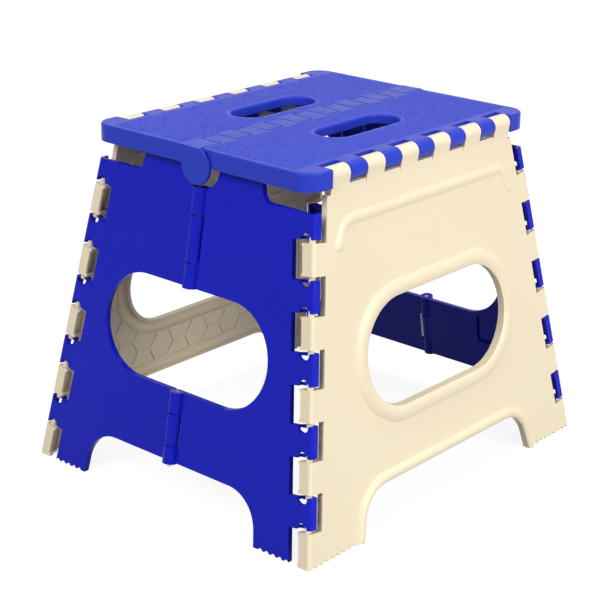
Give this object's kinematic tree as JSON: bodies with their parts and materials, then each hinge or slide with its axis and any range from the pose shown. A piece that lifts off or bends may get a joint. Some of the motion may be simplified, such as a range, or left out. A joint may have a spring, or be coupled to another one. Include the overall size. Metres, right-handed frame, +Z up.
{
  "type": "folding step stool",
  "caption": "Folding plastic step stool with a two-leaf tread, hand slots and side, front and back panels that fold flat on corner hinges.",
  "frame": {"origin": "on the floor, in the middle of the open stool", "axes": "+Z up, +Y to the back along the tread's centre hinge, +X to the right; the front panel faces -Y"},
  "size_m": [0.328, 0.3753, 0.305],
  "materials": {
    "blue_plastic": "smooth moulded polypropylene, half gloss",
    "tread_plastic": "moulded polypropylene with a fine raised dot texture on the tread",
    "cream_plastic": "smooth moulded polypropylene, half gloss",
    "steel_rod": "bright drawn steel wire"
  },
  "bodies": {
    "side_left": {"side_panel_left": "cream_plastic", "tread_side_rod_left": "steel_rod"},
    "side_right": {"side_panel_right": "cream_plastic", "tread_side_rod_right": "steel_rod"},
    "front_left": {"front_panel_left": "blue_plastic"},
    "front_right": {"front_panel_right": "blue_plastic", "front_upper_rod": "steel_rod", "front_lower_rod": "steel_rod"},
    "back_left": {"back_panel_left": "blue_plastic", "back_upper_rod": "steel_rod", "back_lower_rod": "steel_rod"},
    "back_right": {"back_panel_right": "blue_plastic"},
    "tread_left": {"tread_left": "tread_plastic", "tread_centre_rod": "steel_rod"},
    "tread_right": {"tread_right": "tread_plastic"}
  },
  "joints": [
    {"name": "front_centre_fold", "type": "hinge", "parent": "front_left", "child": "front_right", "pos_m": [0, -0.188, 0], "axis": [0, -0.1746, -0.9846], "range_deg": [0, 172]},
    {"name": "front_left_corner", "type": "hinge", "parent": "side_left", "child": "front_left", "pos_m": [-0.1553, -0.182, 0], "axis": [0.1429, 0.1675, 0.9755], "range_deg": [0, 87.4]},
    {"name": "front_right_corner", "type": "hinge", "parent": "front_right", "child": "side_right", "pos_m": [0.1553, -0.182, 0], "axis": [-0.1429, 0.1675, 0.9755], "range_deg": [0, 87.4]},
    {"name": "back_left_corner", "type": "hinge", "parent": "side_left", "child": "back_left", "pos_m": [-0.1553, 0.182, 0], "axis": [-0.1429, 0.1675, -0.9755], "range_deg": [0, 87.4]},
    {"name": "back_right_corner", "type": "hinge", "parent": "side_right", "child": "back_right", "pos_m": [0.1553, 0.182, 0], "axis": [-0.1429, -0.1675, 0.9755], "range_deg": [0, 87.4]},
    {"name": "tread_left_hinge", "type": "hinge", "parent": "side_left", "child": "tread_left", "pos_m": [-0.1135, 0, 0.2975], "axis": [0, -1, 0], "range_deg": [0, 79.6]},
    {"name": "tread_right_hinge", "type": "hinge", "parent": "side_right", "child": "tread_right", "pos_m": [0.1135, 0, 0.2975], "axis": [0, 1, 0], "range_deg": [0, 79.6]}
  ],
  "couplings": [
    {"joint": "front_left_corner", "follows": "front_centre_fold", "ratio": 0.5078},
    {"joint": "front_right_corner", "follows": "front_centre_fold", "ratio": 0.5078},
    {"joint": "back_left_corner", "follows": "front_centre_fold", "ratio": 0.5078},
    {"joint": "back_right_corner", "follows": "front_centre_fold", "ratio": 0.5078},
    {"joint": "tread_left_hinge", "follows": "front_centre_fold", "ratio": 0.46234},
    {"joint": "tread_right_hinge", "follows": "front_centre_fold", "ratio": 0.46234}
  ]
}
